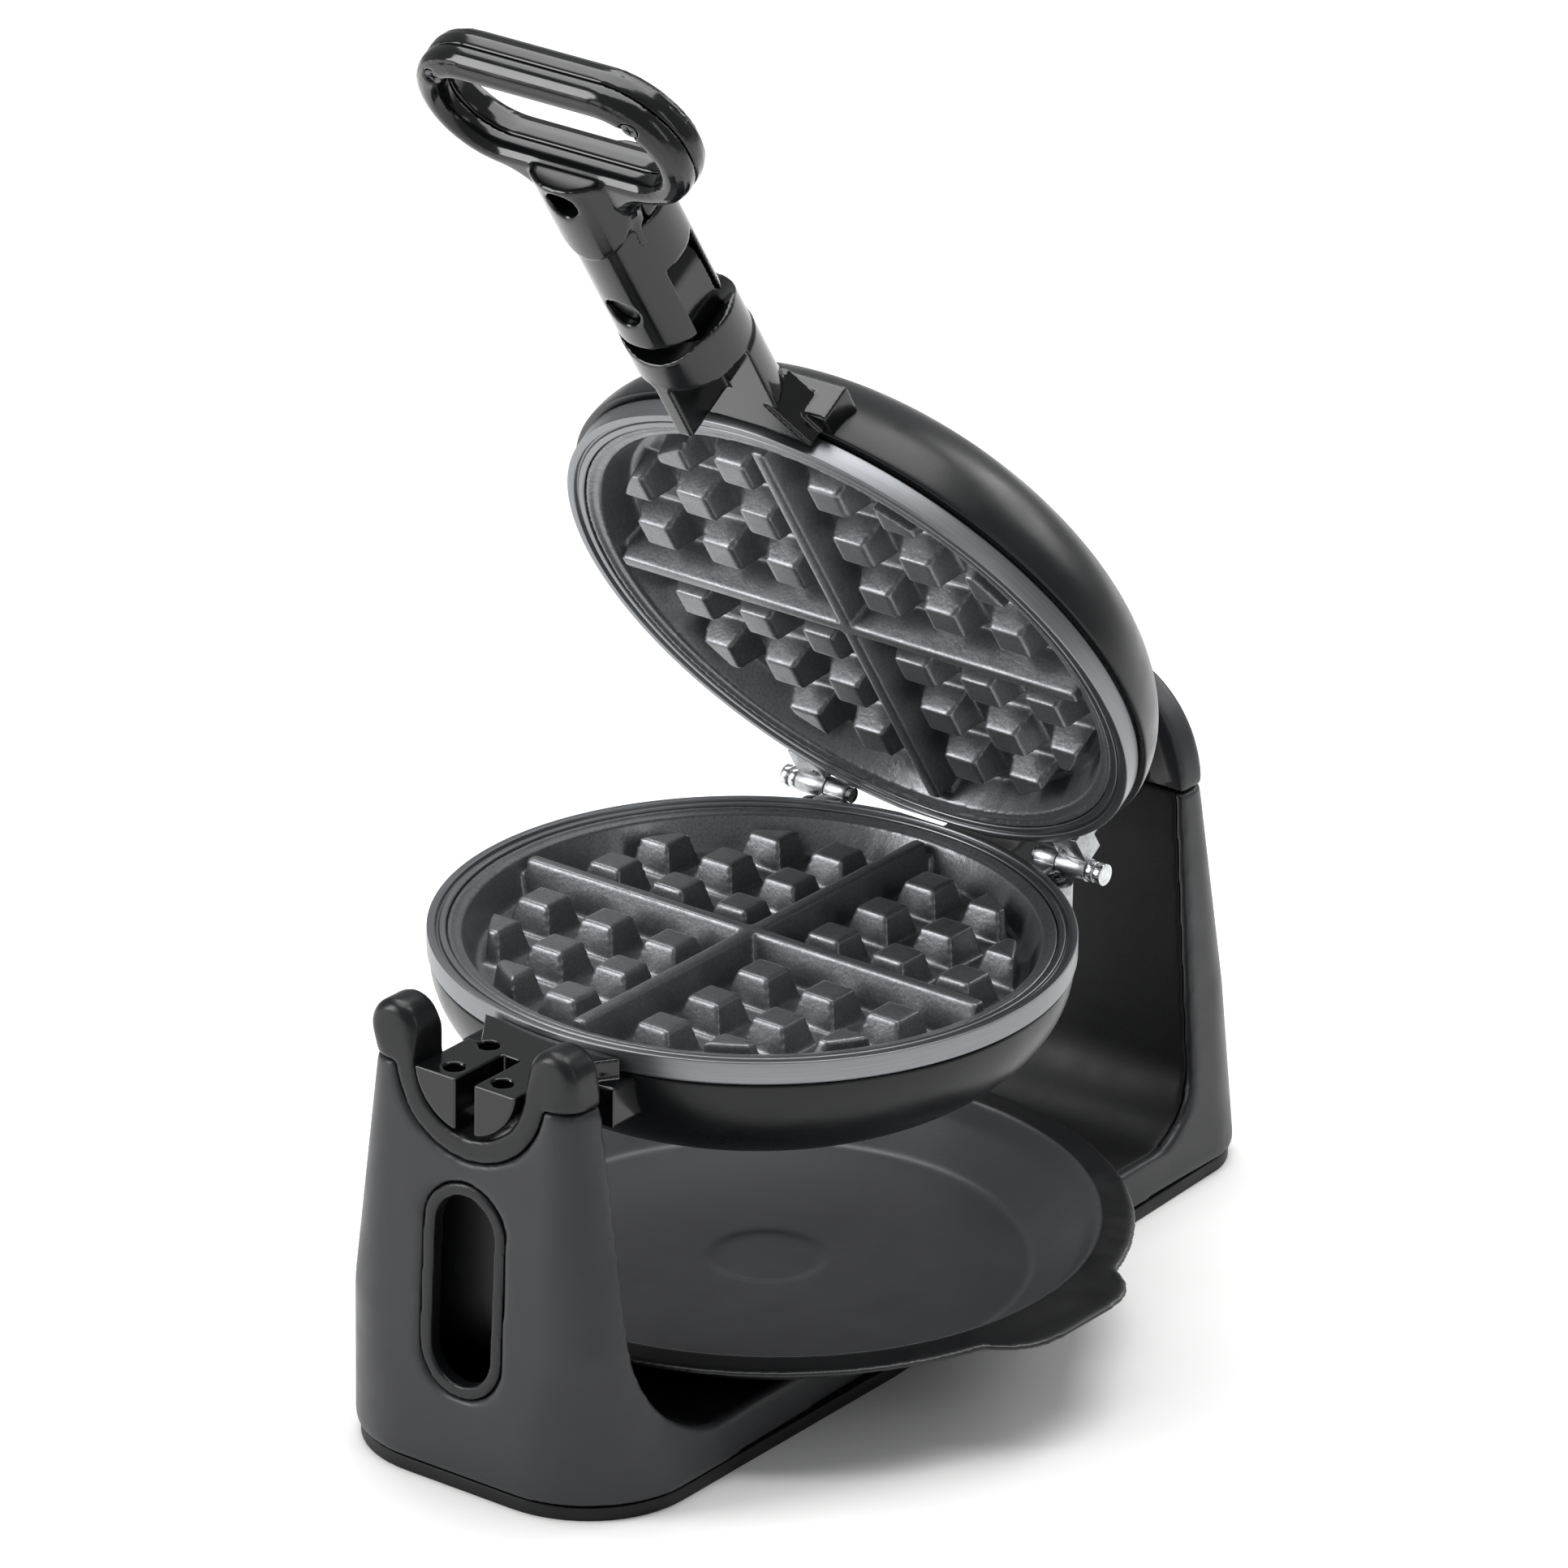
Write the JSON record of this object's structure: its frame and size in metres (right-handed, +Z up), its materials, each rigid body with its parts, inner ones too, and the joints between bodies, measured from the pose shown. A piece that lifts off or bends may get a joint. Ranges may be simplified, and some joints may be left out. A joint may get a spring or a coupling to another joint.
{
  "type": "rotating waffle maker",
  "caption": "Countertop waffle maker with two hinged round cooking pans that turn over on a U-shaped stand, a folding handle and a pull-out drip tray.",
  "frame": {"origin": "on the surface the stand rests on, below the centre of the lower pan", "axes": "+Z up, +Y to the rear tower, +X to the right, where the tray's tab is"},
  "size_m": [0.23, 0.3464, 0.4386],
  "materials": {
    "stand_black": "fine moulded grain, satin",
    "panel_black": "fine moulded grain",
    "dome_black": "smooth satin",
    "handle_black": "polished",
    "band_metal": "brushed around the rim",
    "plate_coating": "satin non-stick coating on cast aluminium",
    "cast_metal": "as cast",
    "pin_steel": "bright",
    "screw_steel": "dark zinc plated",
    "element_steel": "heat-darkened",
    "shield_aluminium": "rolled",
    "nylon": "natural",
    "rubber": "matt",
    "tray_grey": "fine grain"
  },
  "bodies": {
    "stand": {"stand_housing": "stand_black", "stand_liner": "panel_black", "front_saddle": "stand_black", "rear_cap": "stand_black", "window_bezel": "stand_black", "bottom_plate": "panel_black", "rubber_feet": "rubber", "stand_screws": "screw_steel", "rear_bearing": "nylon", "cord_inlet": "rubber", "terminal_block": "nylon"},
    "pan": {"lower_shell": "dome_black", "lower_ring": "band_metal", "lower_plate": "plate_coating", "lower_element": "element_steel", "lower_shield": "shield_aluminium", "lower_thermostat": "nylon", "lower_stem": "handle_black", "lower_screws": "screw_steel", "lower_hinge_lugs": "cast_metal", "hinge_pins": "pin_steel", "rear_yoke": "panel_black", "pivot_tube": "pin_steel", "shaft_clip": "pin_steel"},
    "lid": {"upper_shell": "dome_black", "upper_ring": "band_metal", "upper_plate": "plate_coating", "upper_element": "element_steel", "upper_shield": "shield_aluminium", "upper_thermostat": "nylon", "upper_hinge_lugs": "cast_metal", "upper_stem": "handle_black", "stem_tongue": "handle_black", "upper_screws": "screw_steel"},
    "handle": {"handle_neck": "handle_black", "handle_front_cover": "handle_black", "handle_back_cover": "handle_black", "fold_pin": "screw_steel", "handle_screws": "screw_steel"},
    "tray": {"drip_tray": "tray_grey"}
  },
  "joints": [
    {"name": "pan_flip", "type": "hinge", "parent": "stand", "child": "pan", "pos_m": [0, 0, 0.133], "axis": [0, -1, 0], "range_deg": [0, 85]},
    {"name": "lid_hinge", "type": "hinge", "parent": "pan", "child": "lid", "pos_m": [0, 0.096, 0.133], "axis": [-1, 0, 0], "range_deg": [-56.7, 38.3]},
    {"name": "handle_fold", "type": "hinge", "parent": "lid", "child": "handle", "pos_m": [0, -0.05141, 0.35741], "axis": [0, 0.8358, 0.549], "range_deg": [0, 90]},
    {"name": "tray_slide", "type": "slide", "parent": "stand", "child": "tray", "axis": [1, 0, 0], "range_m": [0, 0.12]}
  ]
}
